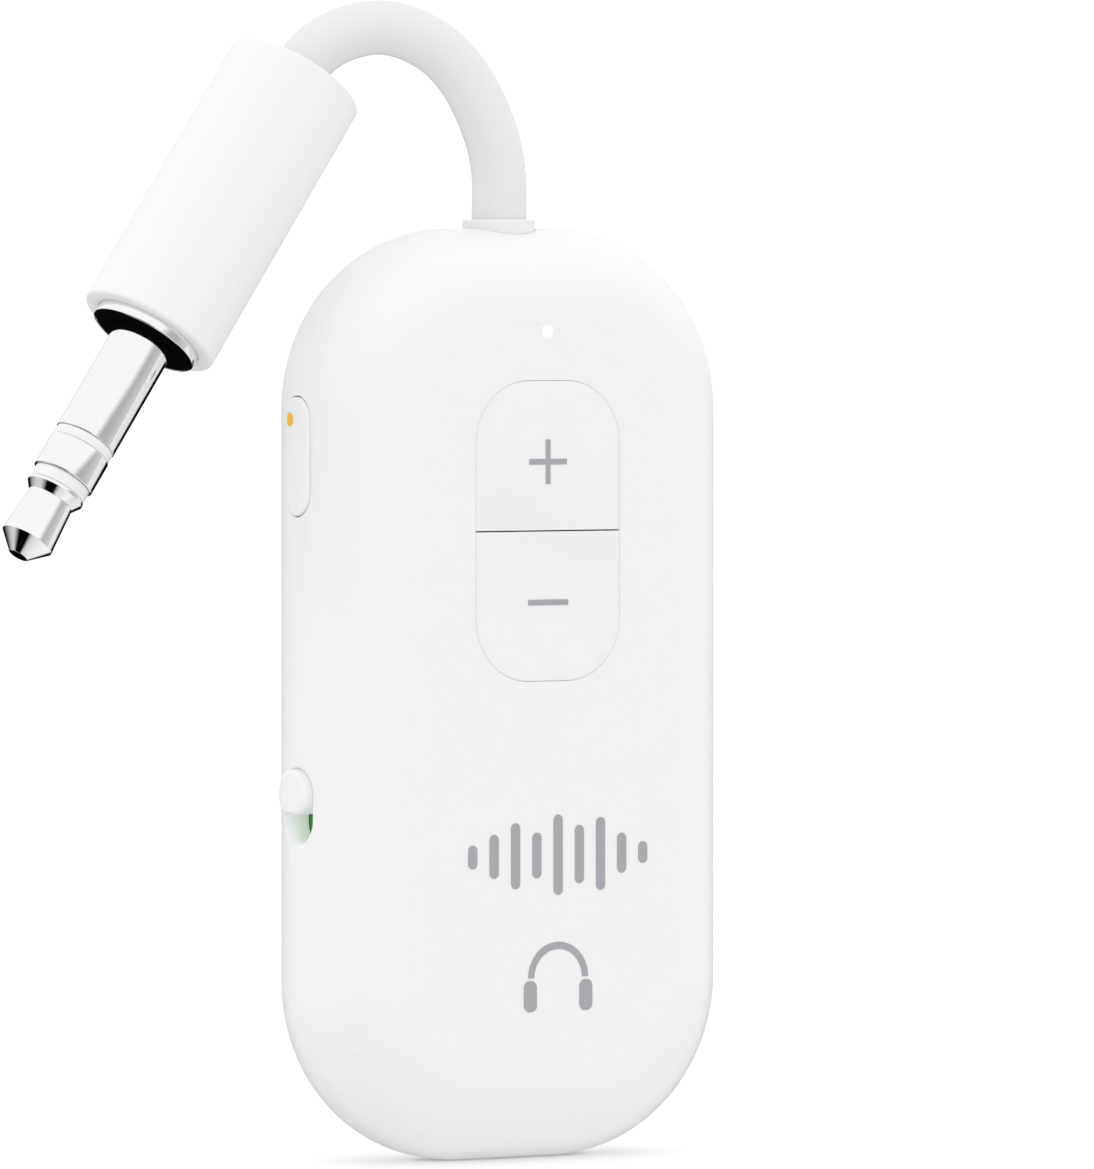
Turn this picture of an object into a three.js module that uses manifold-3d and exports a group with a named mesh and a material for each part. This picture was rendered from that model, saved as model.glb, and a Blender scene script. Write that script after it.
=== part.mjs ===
// Pocket wireless audio receiver: a pill-shaped white casing on end, with a short captive cord that
// arcs over to a 3.5 mm stereo plug. Millimetres, +Z up, front face towards -Y.
// The origin is at the middle of the casing's foot.

import * as THREE from 'three';
import { mergeVertices } from 'three/addons/utils/BufferGeometryUtils.js';
import Module from 'manifold-3d';

const wasm = await Module();
wasm.setup();

// ---------------------------------------------------------------- driving dimensions

const CASE = { width: 26, depth: 10, height: 51, corner: 9.85, edge: 4.7, wall: 1.1 };
const SEAM = { y: 3.4, gap: 0.08, cavityInset: 2.1, rimInset: 2.25, rimWall: 0.8, rimDepth: 1.1 };
const CORD_NOTCH = { width: 6.8, bottom: 44 }; // where the cover's rim makes way for the grommet
const COVER_FLOOR = 1; // thickness of the back cover inside its rim
const GAP = 0.08; // clearance round each cap in its opening
const PRESS = 0.25; // how far each button is free to go in
const CLEAR = 0.1; // left free between inner pieces that don't touch
const OVERCUT = 1; // how far a cutting tool starts clear of the face that it cuts
const KEY = { width: 9.3, bottom: 26.3, top: 42.7, corner: 3.4, split: 34.5, flange: 0.8 };
const SIDE_BUTTON = { centre: 38.6, length: 6.6, width: 2.5, flange: 0.6, proud: 0.15 };
const SLOT = { bottom: 17.45, top: 21.7, width: 2.8 };
const KNOB = { length: 2.45, corner: 1, proud: 0.5, travel: 1.4 };
const SKIRT = { below: 4.3, above: 3.1, width: 4.4 };
const LAMP = { z: 45.4, radius: 0.35, flangeRadius: 0.8, flangeThickness: 0.4, ledGap: 0.15 };
const STATUS_LED = { width: 1.6, length: 0.8, height: 0.5 };
const SIDE_LAMP = { y: 0.5, z: 40.6, radius: 0.36 };
const SOCKET = { z: 15, length: 8.94, width: 3.16, skin: 0.28, mouthX: 12.4, depth: 7 };
const SOCKET_OPENING = { length: 9.5, width: 3.7 };
const GROMMET = {
  radius: 2, top: 51.5, edge: 0.15, flangeRadius: 2.5, flangeBottom: 48.2, boreRadius: 1.72,
};
const BOARD = { front: -2.3, back: -1.5, width: 20.8, bottom: 2.4, top: 46.6, corner: 7.6 };
const BATTERY = { left: -7.2, right: 9.5, bottom: 20.3, top: 43, front: -0.4, back: 3.35, corner: 1 };
const PEGS = [[-7.8, 28.5], [7.8, 28.5], [-6.6, 7.6], [6.6, 6.8]]; // x, z of the board's locating pegs
const PEG = { radius: 0.5, bossRadius: 1.1, holeRadius: 0.65, end: -1.2 };
const CORD = { radius: 1.5, sides: 8, steps: 30 };
const LEAD = { radius: 0.3, batteryRadius: 0.45, sides: 8, steps: 8 };

// The handle of the plug is a cylinder whose axis starts at the middle of its cord face.
const HANDLE = { radius: 3.9, length: 16.8, edge: 0.4, cordBoreDepth: 8.5, chamberFrom: 9.5 };
const HANDLE_START = new THREE.Vector3(-10.97, 3.43, 59.2);
const HANDLE_AXIS = new THREE.Vector3(-0.5663, -0.0143, -0.8243).normalize();
const COLLAR = { outer: 3.05, inner: 2.92, proud: 0.55, seat: 1 };
const FACE_DISC = { bore: 1.85, thickness: 1.45 };
const PLUG_SIDES = 24;

// Distances along the plug from the collar's face.
const POLE = { sleeveEnd: 6.54, ringStart: 7.12, ringEnd: 9.05, tipStart: 9.77, length: 14 };
const POLE_GAP = 0.05;

// ---------------------------------------------------------------- solids and outlines

// The triangles of a closed geometry as a solid that can be joined and cut.
function solidOf(geometry) {
  geometry.deleteAttribute('normal');
  geometry.deleteAttribute('uv');
  const merged = mergeVertices(geometry, 1e-4);
  const corners = merged.index.array;
  const kept = [];
  for (let i = 0; i < corners.length; i += 3) {
    const [a, b, c] = [corners[i], corners[i + 1], corners[i + 2]];
    if (a !== b && b !== c && c !== a) kept.push(a, b, c);
  }
  const vertProperties = new Float32Array(merged.attributes.position.array);
  const triVerts = new Uint32Array(kept);
  return new wasm.Manifold(new wasm.Mesh({ numProp: 3, vertProperties, triVerts }));
}

function geometryOf(solid) {
  const { numProp, vertProperties, triVerts } = solid.getMesh();
  const positions = [];
  for (let i = 0; i < vertProperties.length; i += numProp) {
    positions.push(vertProperties[i], vertProperties[i + 1], vertProperties[i + 2]);
  }
  const geometry = new THREE.BufferGeometry();
  geometry.setAttribute('position', new THREE.Float32BufferAttribute(positions, 3));
  geometry.setIndex(Array.from(triVerts));
  const faceted = geometry.toNonIndexed();
  faceted.computeVertexNormals();
  return faceted;
}

function roundedRectangle(width, height, radius, u = 0, v = 0) {
  const [x, y] = [width / 2 - radius, height / 2 - radius];
  const shape = new THREE.Shape();
  shape.absarc(u + x, v + y, radius, 0, Math.PI / 2);
  shape.absarc(u - x, v + y, radius, Math.PI / 2, Math.PI);
  shape.absarc(u - x, v - y, radius, Math.PI, 1.5 * Math.PI);
  shape.absarc(u + x, v - y, radius, 1.5 * Math.PI, 2 * Math.PI);
  shape.closePath();
  return shape;
}

function circle(radius, u = 0, v = 0) {
  const shape = new THREE.Shape();
  shape.absarc(u, v, radius, 0, 2 * Math.PI);
  return shape;
}

// Drawn in X and Z, and pushed along Y from yLow to yHigh.
function alongY(shape, yLow, yHigh, segments = 5) {
  const geometry = new THREE.ExtrudeGeometry(shape, {
    depth: yHigh - yLow, bevelEnabled: false, curveSegments: segments,
  });
  return solidOf(geometry.rotateX(Math.PI / 2).translate(0, yHigh, 0));
}

// Drawn in Y and Z, and pushed along X from xLow to xHigh.
function alongX(shape, xLow, xHigh, segments = 5) {
  const geometry = new THREE.ExtrudeGeometry(shape, {
    depth: xHigh - xLow, bevelEnabled: false, curveSegments: segments,
  });
  const turn = new THREE.Matrix4().makeBasis(
    new THREE.Vector3(0, 1, 0), new THREE.Vector3(0, 0, 1), new THREE.Vector3(1, 0, 0),
  );
  return solidOf(geometry.applyMatrix4(turn).translate(xLow, 0, 0));
}

function block(x, y, z) {
  const geometry = new THREE.BoxGeometry(x[1] - x[0], y[1] - y[0], z[1] - z[0]);
  return solidOf(geometry.translate((x[0] + x[1]) / 2, (y[0] + y[1]) / 2, (z[0] + z[1]) / 2));
}

// A profile of [radius, height] points turned about Z. It starts and ends on the axis, or closes on itself.
function turned(profile, sides = PLUG_SIDES) {
  const points = profile.map(([radius, height]) => new THREE.Vector2(radius, height));
  return solidOf(new THREE.LatheGeometry(points, sides).rotateX(Math.PI / 2));
}

function pipe(inner, outer, from, to, sides = PLUG_SIDES) {
  return turned([[inner, from], [outer, from], [outer, to], [inner, to], [inner, from]], sides);
}

function tubeAlong(points, radius, sides, steps) {
  const section = new THREE.Shape();
  for (let i = 0; i < sides; i += 1) {
    const angle = (2 * Math.PI * i) / sides;
    const [u, v] = [radius * Math.cos(angle), radius * Math.sin(angle)];
    if (i === 0) section.moveTo(u, v);
    else section.lineTo(u, v);
  }
  section.closePath();
  const route = new THREE.CatmullRomCurve3(points.map((p) => new THREE.Vector3(...p)));
  return solidOf(new THREE.ExtrudeGeometry(section, { steps, extrudePath: route }));
}

// The casing's full form, drawn in by an inset all round: a rounded outline with rounded edges.
function pill(inset) {
  const edge = CASE.edge - inset;
  const outline = roundedRectangle(
    CASE.width - 2 * inset, CASE.height - 2 * inset, CASE.corner - inset, 0, CASE.height / 2,
  );
  const thickness = CASE.depth - 2 * inset;
  const geometry = new THREE.ExtrudeGeometry(outline, {
    depth: thickness - 2 * edge,
    curveSegments: 5,
    bevelThickness: edge,
    bevelSize: edge,
    bevelOffset: -edge,
    bevelSegments: 6,
  });
  geometry.translate(0, 0, -(thickness / 2 - edge));
  return solidOf(geometry.rotateX(Math.PI / 2));
}

// The casing's outline drawn in by an inset, as a straight prism.
function outlinePrism(inset, yLow, yHigh) {
  const outline = roundedRectangle(
    CASE.width - 2 * inset, CASE.height - 2 * inset, CASE.corner - inset, 0, CASE.height / 2,
  );
  return alongY(outline, yLow, yHigh);
}

// ---------------------------------------------------------------- looks

const look = (color, roughness, metalness = 0) => ({ color, roughness, metalness });
const WHITE_ABS = look(0xf1f1f1, 0.35);
const KEY_WHITE = look(0xf2f2f2, 0.32);
const SOFT_WHITE = look(0xf4f4f4, 0.5);
const CHROME = look(0xd9dadc, 0.12, 1);
const STEEL = look(0xb9bcc0, 0.3, 1);
const BLACK_PLASTIC = look(0x111213, 0.45);
const POLE_WHITE = look(0xe9e9e9, 0.4);
const LAMP_WHITE = look(0xffffff, 0.2);
const AMBER = look(0xf0b932, 0.25);
const GREEN = look(0x2f8a3c, 0.5);
const BOARD_GREEN = look(0x14472f, 0.45);
const CERAMIC = look(0xc9b48f, 0.5);
const FOIL = look(0xb4b8bd, 0.35, 0.8);
const FOAM = look(0x2a2a2c, 0.95);
const RED_WIRE = look(0xb3202a, 0.5);
const BLACK_WIRE = look(0x1b1b1d, 0.5);
const COPPER_WIRE = look(0xb8793f, 0.4, 0.6);

const receiver = new THREE.Group();

function addPiece(name, solid, finish, parent = receiver) {
  const mesh = new THREE.Mesh(geometryOf(solid), new THREE.MeshStandardMaterial(finish));
  mesh.name = name;
  parent.add(mesh);
}

// ---------------------------------------------------------------- casing

const halfWidth = CASE.width / 2;
const frontFace = -CASE.depth / 2;
const innerFront = frontFace + CASE.wall;
const FRONT_CUT = [frontFace - OVERCUT, innerFront + 0.5];
const SIDE_CUT = 2.5; // depth of the openings in the side walls
const outer = pill(0);
const inner = pill(CASE.wall);
const keyCentre = (KEY.bottom + KEY.top) / 2;
const keyHeight = KEY.top - KEY.bottom;
const slotCentre = (SLOT.top + SLOT.bottom) / 2;
const knobCentre = SLOT.top - GAP - KNOB.length / 2;

function sideObround(length, width, z, xLow, xHigh, segments = 5) {
  return alongX(roundedRectangle(width, length, width / 2, 0, z), xLow, xHigh, segments);
}

// Everything that is cut through the front and side walls.
function wallOpenings() {
  const left = [-halfWidth - OVERCUT, -halfWidth + SIDE_CUT];
  const right = [halfWidth - SIDE_CUT, halfWidth + OVERCUT];
  const keys = alongY(roundedRectangle(KEY.width, keyHeight, KEY.corner, 0, keyCentre), ...FRONT_CUT);
  const lamp = alongY(circle(LAMP.radius + GAP, 0, LAMP.z), ...FRONT_CUT);
  const button = sideObround(SIDE_BUTTON.length, SIDE_BUTTON.width, SIDE_BUTTON.centre, ...left);
  const slot = sideObround(SLOT.top - SLOT.bottom, SLOT.width, slotCentre, ...left);
  const socket = sideObround(SOCKET_OPENING.length, SOCKET_OPENING.width, SOCKET.z, ...right);
  const cordHole = turned([
    [0, GROMMET.flangeBottom], [GROMMET.radius + GAP, GROMMET.flangeBottom],
    [GROMMET.radius + GAP, CASE.height + OVERCUT], [0, CASE.height + OVERCUT],
  ]);
  return keys.add(lamp).add(button).add(slot).add(socket).add(cordHole);
}

// A boss that the board rests on, with a peg through the board.
function boardPeg(x, z) {
  const root = innerFront - CASE.wall / 4;
  const boss = alongY(circle(PEG.bossRadius, x, z), root, BOARD.front - CLEAR / 2, 3);
  const peg = alongY(circle(PEG.radius, x, z), root, PEG.end, 3);
  return boss.add(peg);
}

// Small beads on the cover's rim snap into these grooves on the casing's long sides.
const SNAP = { z: [12, 39], length: 4, yLow: 2.45, yHigh: 2.85, bead: 0.2, groove: 0.3, root: 0.2 };
const rimEdge = halfWidth - SEAM.rimInset;
const cavityEdge = halfWidth - SEAM.cavityInset;

function snapBlocks(from, to, spare) {
  const blocks = [];
  for (const side of [-1, 1]) {
    for (const z of SNAP.z) {
      const x = [side * from, side * to].sort((a, b) => a - b);
      const half = SNAP.length / 2 + spare;
      blocks.push(block(x, [SNAP.yLow - spare, SNAP.yHigh + spare], [z - half, z + half]));
    }
  }
  return blocks;
}

function frontShell() {
  const rear = CASE.depth / 2 + OVERCUT;
  const lidSpace = outlinePrism(-1, SEAM.y, rear);
  const straightCavity = outlinePrism(SEAM.cavityInset, 0, rear);
  let shell = outer.subtract(lidSpace).subtract(inner).subtract(straightCavity).subtract(wallOpenings());
  for (const [x, z] of PEGS) shell = shell.add(boardPeg(x, z));
  for (const groove of snapBlocks(cavityEdge - SNAP.root, cavityEdge + SNAP.groove, CLEAR)) {
    shell = shell.subtract(groove);
  }
  return shell;
}

function backCover() {
  const lidStart = SEAM.y + SEAM.gap;
  const rimStart = SEAM.y - SEAM.rimDepth;
  const lid = outer.intersect(outlinePrism(-1, lidStart, CASE.depth / 2 + OVERCUT));
  const rimOuter = outlinePrism(SEAM.rimInset, rimStart, lidStart + CLEAR);
  const rimInner = outlinePrism(
    SEAM.rimInset + SEAM.rimWall, rimStart - OVERCUT, CASE.depth / 2 - COVER_FLOOR,
  );
  const notchHalf = CORD_NOTCH.width / 2;
  const cordNotch = block([-notchHalf, notchHalf], [0, lidStart], [CORD_NOTCH.bottom, CASE.height]);
  let cover = lid.add(rimOuter.subtract(cordNotch)).subtract(rimInner);
  for (const bead of snapBlocks(rimEdge - SNAP.root, rimEdge + SNAP.bead, 0)) cover = cover.add(bead);
  return cover;
}

addPiece('front_shell', frontShell(), WHITE_ABS);
addPiece('back_cover', backCover(), WHITE_ABS);

function cordGrommet() {
  const { radius, top, edge, flangeRadius, flangeBottom, boreRadius } = GROMMET;
  const neck = turned([
    [0, flangeBottom], [radius, flangeBottom], [radius, top - edge], [radius - edge, top], [0, top],
  ]);
  const flange = pill(CASE.wall + CLEAR).intersect(
    turned([[0, flangeBottom], [flangeRadius, flangeBottom], [flangeRadius, top], [0, top]]),
  );
  const bore = turned([[0, 0], [boreRadius, 0], [boreRadius, top + OVERCUT], [0, top + OVERCUT]]);
  return neck.add(flange).subtract(bore);
}

addPiece('cord_grommet', cordGrommet(), SOFT_WHITE);

function frontLightPipe() {
  const stemEnd = BOARD.front - STATUS_LED.height - LAMP.ledGap;
  const flangeStart = innerFront + CLEAR;
  const stem = alongY(circle(LAMP.radius, 0, LAMP.z), frontFace, stemEnd, 4);
  const flange = alongY(
    circle(LAMP.flangeRadius, 0, LAMP.z), flangeStart, flangeStart + LAMP.flangeThickness, 4,
  );
  return stem.add(flange);
}

addPiece('front_light_pipe', frontLightPipe(), LAMP_WHITE);

// ---------------------------------------------------------------- volume keys

const TACT = { size: 3.2, height: 0.7, wellRadius: 0.85, wellDepth: 0.5 };
const tactFront = BOARD.front - TACT.height;
const keyBack = tactFront - CLEAR - PRESS;
const PLUNGER = { radius: 0.7, from: keyBack + CLEAR, to: tactFront + TACT.wellDepth - CLEAR - PRESS };

// One half of the split pair: a cap in the opening, with a flange behind the wall that keeps it in.
function volumeKey(zLow, zHigh) {
  const half = block([-CASE.width, CASE.width], [-CASE.depth, CASE.depth], [zLow, zHigh]);
  const cap = alongY(
    roundedRectangle(KEY.width - 2 * GAP, keyHeight - 2 * GAP, KEY.corner - GAP, 0, keyCentre),
    frontFace, innerFront + 2 * CLEAR,
  );
  const flange = alongY(
    roundedRectangle(
      KEY.width + 2 * KEY.flange, keyHeight + 2 * KEY.flange, KEY.corner + KEY.flange, 0, keyCentre,
    ),
    innerFront + CLEAR, keyBack,
  );
  return cap.add(flange).intersect(half);
}

function tactSwitch(z) {
  const half = TACT.size / 2;
  const body = block([-half, half], [tactFront, BOARD.front], [z - half, z + half]);
  const well = alongY(
    circle(TACT.wellRadius, 0, z), tactFront - OVERCUT, tactFront + TACT.wellDepth, 4,
  );
  return body.subtract(well);
}

const VOLUME_KEYS = {
  volume_up: { from: KEY.split + GAP, to: CASE.height, switchZ: 38.3 },
  volume_down: { from: 0, to: KEY.split - GAP, switchZ: 30.6 },
};
for (const [name, { from, to, switchZ }] of Object.entries(VOLUME_KEYS)) {
  addPiece(`${name}_key`, volumeKey(from, to), KEY_WHITE);
  const plunger = alongY(circle(PLUNGER.radius, 0, switchZ), PLUNGER.from, PLUNGER.to, 4);
  addPiece(`${name}_plunger`, plunger, STEEL);
  addPiece(`${name}_switch`, tactSwitch(switchZ), BLACK_PLASTIC);
}

// ---------------------------------------------------------------- side button

const SIDE_TACT = { z: 37.6, length: 3.8, left: -10.4, right: -8, back: 1.4, wellDepth: 1 };
const SIDE_WELL = { width: 1.4, length: 2.4 };
const buttonBack = -halfWidth + CASE.wall + 0.6;

function sideButton() {
  const { centre, length, width, flange, proud } = SIDE_BUTTON;
  const cap = pill(-proud).intersect(
    sideObround(length - 2 * GAP, width - 2 * GAP, centre, -halfWidth - OVERCUT, buttonBack),
  );
  const keeper = pill(CASE.wall + CLEAR).intersect(
    sideObround(length + 2 * flange, width + 2 * flange, centre, -halfWidth, buttonBack),
  );
  const lampHole = alongX(
    circle(SIDE_LAMP.radius + GAP, SIDE_LAMP.y, SIDE_LAMP.z),
    -halfWidth - OVERCUT, buttonBack + OVERCUT, 4,
  );
  return cap.add(keeper).subtract(lampHole);
}

function sideButtonLightPipe() {
  const pin = alongX(
    circle(SIDE_LAMP.radius, SIDE_LAMP.y, SIDE_LAMP.z), -halfWidth - OVERCUT, buttonBack, 4,
  );
  return pill(-SIDE_BUTTON.proud).intersect(pin);
}

function sideSwitch() {
  const { z, length, left, right, back, wellDepth } = SIDE_TACT;
  const body = block([left, right], [BOARD.back, back], [z - length / 2, z + length / 2]);
  const [halfY, halfZ] = [SIDE_WELL.width / 2, SIDE_WELL.length / 2];
  return body.subtract(
    block([left - OVERCUT, left + wellDepth], [-halfY, halfY], [z - halfZ, z + halfZ]),
  );
}

function sideSwitchPlunger() {
  const { z, left, wellDepth } = SIDE_TACT;
  const [halfY, halfZ] = [SIDE_WELL.width / 2 - CLEAR, SIDE_WELL.length / 2 - CLEAR];
  return block(
    [buttonBack + CLEAR, left + wellDepth - CLEAR - PRESS], [-halfY, halfY], [z - halfZ, z + halfZ],
  );
}

addPiece('side_button', sideButton(), KEY_WHITE);
addPiece('side_button_light_pipe', sideButtonLightPipe(), AMBER);
addPiece('side_switch', sideSwitch(), BLACK_PLASTIC);
addPiece('side_switch_plunger', sideSwitchPlunger(), STEEL);

// ---------------------------------------------------------------- slide switch

// How far the green label, the knob's skirt and the skirt's back lie under the casing's surface.
const SKIRT_INSET = { label: 1.16, top: 1.3, back: 1.75 };
const LABEL = { width: 3.4, gap: 0.04, overlap: 0.4 };
const SLIDE = { left: -10.2, right: -7.8, back: 0.9, length: 6.8, channel: 1.3 };
const LEVER = { y: [-0.6, 0.2], half: 0.6, reach: 1.1 };
const FORK = { thickness: 0.6, root: 0.2, gap: 0.3 }; // the knob's two prongs, above and below the lever

// The layer between two insets of the casing's form, inside a window on the left wall.
function sideLayer(from, to, width, zLow, zHigh) {
  const x = [-halfWidth - OVERCUT, -halfWidth + SIDE_CUT];
  const window = block(x, [-width / 2, width / 2], [zLow, zHigh]);
  return pill(from).subtract(pill(to)).intersect(window);
}

// Round above like the end of the slot, and blunter below with small corners.
function knobOutline() {
  const half = SLOT.width / 2 - GAP;
  const [top, bottom] = [knobCentre + KNOB.length / 2, knobCentre - KNOB.length / 2];
  const shape = new THREE.Shape();
  shape.absarc(0, top - half, half, 0, Math.PI);
  shape.absarc(KNOB.corner - half, bottom + KNOB.corner, KNOB.corner, Math.PI, 1.5 * Math.PI);
  shape.absarc(half - KNOB.corner, bottom + KNOB.corner, KNOB.corner, 1.5 * Math.PI, 2 * Math.PI);
  shape.closePath();
  return shape;
}

function slideSwitchKnob() {
  const cap = alongX(knobOutline(), -halfWidth - KNOB.proud, -halfWidth + SKIRT_INSET.back);
  const skirt = sideLayer(
    SKIRT_INSET.top, SKIRT_INSET.back, SKIRT.width, knobCentre - SKIRT.below, knobCentre + SKIRT.above,
  );
  let knob = cap.add(skirt);
  const prongX = [-halfWidth + SKIRT_INSET.back - FORK.root, SLIDE.left - FORK.gap];
  for (const side of [-1, 1]) {
    const near = knobCentre + side * (LEVER.half + GAP);
    const far = near + side * FORK.thickness;
    const z = [Math.min(near, far), Math.max(near, far)];
    knob = knob.add(block(prongX, LEVER.y, z));
  }
  return knob;
}

function slideSwitchLabel() {
  const top = knobCentre - KNOB.length / 2 - LABEL.gap;
  return sideLayer(
    SKIRT_INSET.label, SKIRT_INSET.top - LABEL.gap, LABEL.width, SLOT.bottom - LABEL.overlap, top,
  );
}

function slideSwitchHousing() {
  const { left, right, back, length, channel } = SLIDE;
  const middle = knobCentre - KNOB.travel / 2;
  const body = block([left, right], [BOARD.back, back], [middle - length / 2, middle + length / 2]);
  const half = LEVER.half + KNOB.travel / 2 + CLEAR;
  const y = [LEVER.y[0] - CLEAR, LEVER.y[1] + CLEAR];
  return body.subtract(block([left - OVERCUT, left + channel], y, [middle - half, middle + half]));
}

function slideSwitchLever() {
  const x = [-halfWidth + SKIRT_INSET.back + CLEAR, SLIDE.left + LEVER.reach];
  return block(x, LEVER.y, [knobCentre - LEVER.half, knobCentre + LEVER.half]);
}

addPiece('slide_switch_knob', slideSwitchKnob(), KEY_WHITE);
addPiece('slide_switch_label', slideSwitchLabel(), GREEN);
addPiece('slide_switch_lever', slideSwitchLever(), BLACK_PLASTIC);
addPiece('slide_switch_housing', slideSwitchHousing(), STEEL);

// ---------------------------------------------------------------- circuit board and what it carries

function circuitBoard() {
  const height = BOARD.top - BOARD.bottom;
  let board = alongY(
    roundedRectangle(BOARD.width, height, BOARD.corner, 0, BOARD.bottom + height / 2),
    BOARD.front, BOARD.back, 4,
  );
  for (const [x, z] of PEGS) {
    const hole = alongY(
      circle(PEG.holeRadius, x, z), BOARD.front - OVERCUT, BOARD.back + OVERCUT, 3,
    );
    board = board.subtract(hole);
  }
  return board;
}

addPiece('circuit_board', circuitBoard(), BOARD_GREEN);

// A component on the back of the board: its middle, its size and how far it stands up.
function onBoard(x, z, width, length, height) {
  const across = [x - width / 2, x + width / 2];
  return block(across, [BOARD.back, BOARD.back + height], [z - length / 2, z + length / 2]);
}

addPiece('bluetooth_chip', onBoard(-2.2, 12.6, 6, 6, 0.9), BLACK_PLASTIC);
addPiece('audio_amplifier_chip', onBoard(0.5, 38, 4, 4, 0.8), BLACK_PLASTIC);
addPiece('charger_chip', onBoard(3.2, 7.4, 3, 3, 0.8), BLACK_PLASTIC);
addPiece('clock_crystal', onBoard(-3, 7.2, 3.2, 2.5, 0.7), STEEL);
addPiece('chip_antenna', onBoard(0, 3.6, 7, 1.8, 1.1), CERAMIC);
addPiece('side_led', onBoard(-9.7, 40.6, 1, 1.2, 1.2), AMBER);

const CAPACITORS = [[3, 14], [3, 17], [-4, 17.5], [4.4, 38]];
CAPACITORS.forEach(([x, z], i) => {
  addPiece(`capacitor_${i + 1}`, onBoard(x, z, 1.6, 0.9, 0.8), CERAMIC);
});

// The only component on the front of the board.
function statusLed() {
  const [halfX, halfZ] = [STATUS_LED.width / 2, STATUS_LED.length / 2];
  const y = [BOARD.front - STATUS_LED.height, BOARD.front];
  return block([-halfX, halfX], y, [LAMP.z - halfZ, LAMP.z + halfZ]);
}

addPiece('status_led', statusLed(), LAMP_WHITE);

// The charging socket lies on the back of the board, with its mouth in the right wall.
const socketY = BOARD.back + CLEAR / 2 + SOCKET.width / 2;
const socketBack = SOCKET.mouthX - SOCKET.depth;

const TONGUE = { length: 6.6, thickness: 0.7, baseDepth: 1.4, sunk: 0.7 };

function socketObround(inset, xLow, xHigh) {
  const [length, width] = [SOCKET.length - 2 * inset, SOCKET.width - 2 * inset];
  return alongX(roundedRectangle(width, length, 0.43 * width, socketY, SOCKET.z), xLow, xHigh, 3);
}

function socketInsulator() {
  const [halfY, halfZ] = [TONGUE.thickness / 2, TONGUE.length / 2];
  const baseEnd = socketBack + TONGUE.baseDepth;
  const base = socketObround(SOCKET.skin + GAP, socketBack, baseEnd);
  const tongue = block(
    [baseEnd - CLEAR, SOCKET.mouthX - TONGUE.sunk],
    [socketY - halfY, socketY + halfY], [SOCKET.z - halfZ, SOCKET.z + halfZ],
  );
  return base.add(tongue);
}

addPiece(
  'usb_receptacle_shell',
  socketObround(0, socketBack, SOCKET.mouthX).subtract(
    socketObround(SOCKET.skin, socketBack - OVERCUT, SOCKET.mouthX + OVERCUT),
  ),
  STEEL,
);
addPiece('usb_receptacle_insulator', socketInsulator(), BLACK_PLASTIC);

// ---------------------------------------------------------------- battery

function batteryCell() {
  const { left, right, bottom, top, front, back, corner } = BATTERY;
  const outline = roundedRectangle(
    back - front, right - left, corner, (front + back) / 2, (left + right) / 2,
  );
  const geometry = new THREE.ExtrudeGeometry(outline, {
    depth: top - bottom, bevelEnabled: false, curveSegments: 2,
  });
  const turn = new THREE.Matrix4().makeBasis(
    new THREE.Vector3(0, 1, 0), new THREE.Vector3(-1, 0, 0), new THREE.Vector3(0, 0, 1),
  );
  return solidOf(geometry.applyMatrix4(turn).translate(left + right, 0, bottom));
}

// Lies between the cell and the back cover, and is smaller than the cell all round.
const PAD_INSET = { side: 2, end: 3 };

function batteryFoamPad() {
  const { left, right, bottom, top, back } = BATTERY;
  return block(
    [left + PAD_INSET.side, right - PAD_INSET.side],
    [back + CLEAR, CASE.depth / 2 - COVER_FLOOR - CLEAR],
    [bottom + PAD_INSET.end, top - PAD_INSET.end],
  );
}

addPiece('battery_cell', batteryCell(), FOIL);
addPiece('battery_foam_pad', batteryFoamPad(), FOAM);

const BATTERY_LEADS = { battery_lead_positive: [3.2, RED_WIRE], battery_lead_negative: [5.2, BLACK_WIRE] };
for (const [name, [x, finish]] of Object.entries(BATTERY_LEADS)) {
  const route = [
    [x, 1.4, BATTERY.top + 0.1], [x, 1.3, BATTERY.top + 0.8], [x, 0.6, BATTERY.top + 1.4],
    [x, -0.3, BATTERY.top + 1.5], [x, BOARD.back + 0.15, BATTERY.top + 1.45],
  ];
  addPiece(name, tubeAlong(route, LEAD.batteryRadius, LEAD.sides, LEAD.steps), finish);
}

// ---------------------------------------------------------------- cord

// From inside the casing, straight up through the grommet, over to the left and into the plug's handle.
const CORD_ROUTE = [
  [0, 0, 46], [0, 0, 48], [0, 0, 50], [0, 0, 52], [0, 0, 53.8],
  [-0.3, 0.1, 55.7], [-1.12, 0.36, 57.9], [-2.25, 0.7, 59.75], [-3.9, 1.22, 61.2],
  [-6.2, 1.94, 61.97], [-8.5, 2.62, 61.55], [-9.95, 3.12, 60.6],
  [-10.97, 3.43, 59.2], [-12.16, 3.4, 57.47], [-13.8, 3.36, 55.08], [-15.5, 3.32, 52.61],
];
addPiece('cord', tubeAlong(CORD_ROUTE, CORD.radius, CORD.sides, CORD.steps), SOFT_WHITE);

// The cord's cores fan out from its cut end inside the casing to the board.
const AUDIO_LEADS = { audio_lead_left: -0.85, audio_lead_right: 0, audio_lead_ground: 0.85 };
for (const [name, x] of Object.entries(AUDIO_LEADS)) {
  const route = [[x, 0, 45.9], [x, 0, 45.4], [1.5 * x, -0.4, 44.9], [1.8 * x, BOARD.back + 0.35, 44.4]];
  addPiece(name, tubeAlong(route, LEAD.radius, LEAD.sides, LEAD.steps), COPPER_WIRE);
}

// ---------------------------------------------------------------- plug

const plug = new THREE.Group();
plug.position.copy(HANDLE_START);
plug.quaternion.setFromUnitVectors(new THREE.Vector3(0, 0, 1), HANDLE_AXIS);
receiver.add(plug);

const collarFace = HANDLE.length + COLLAR.proud;

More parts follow.
